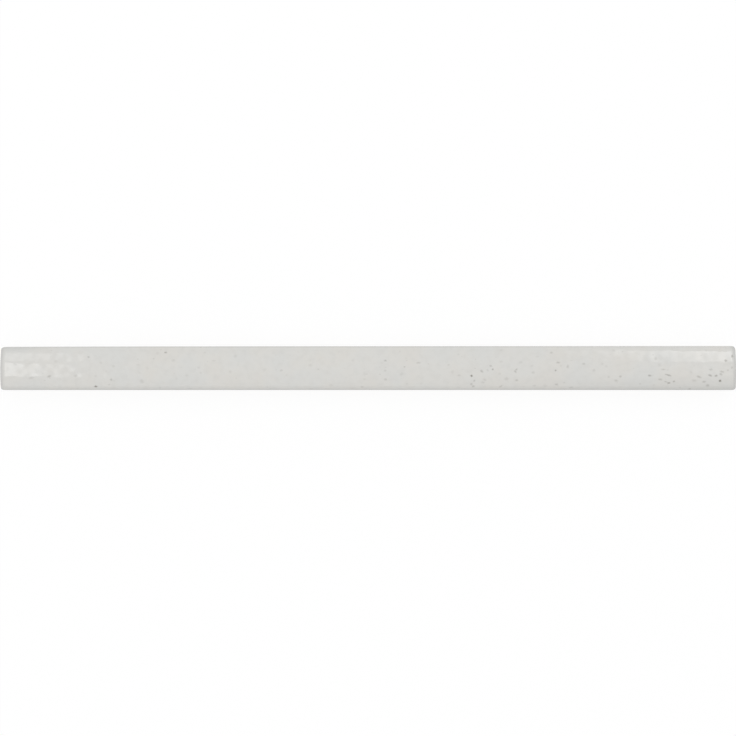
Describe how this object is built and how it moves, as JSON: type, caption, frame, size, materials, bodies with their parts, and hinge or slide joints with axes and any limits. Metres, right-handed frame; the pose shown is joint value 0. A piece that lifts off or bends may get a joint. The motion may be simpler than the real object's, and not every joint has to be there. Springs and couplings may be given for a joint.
{
  "type": "jolly trim tile",
  "caption": "Slim glazed ceramic edge-trim strip with a shallow domed gloss face, rolled arrises and a grooved back.",
  "frame": {"origin": "middle of the back, on the plane that the strip lies on", "axes": "+X along the strip, +Y across it, +Z out of the domed face"},
  "size_m": [0.2, 0.012, 0.009],
  "materials": {
    "glaze": "gloss"
  },
  "bodies": {
    "root": {"trim_tile": "glaze"}
  },
  "joints": []
}
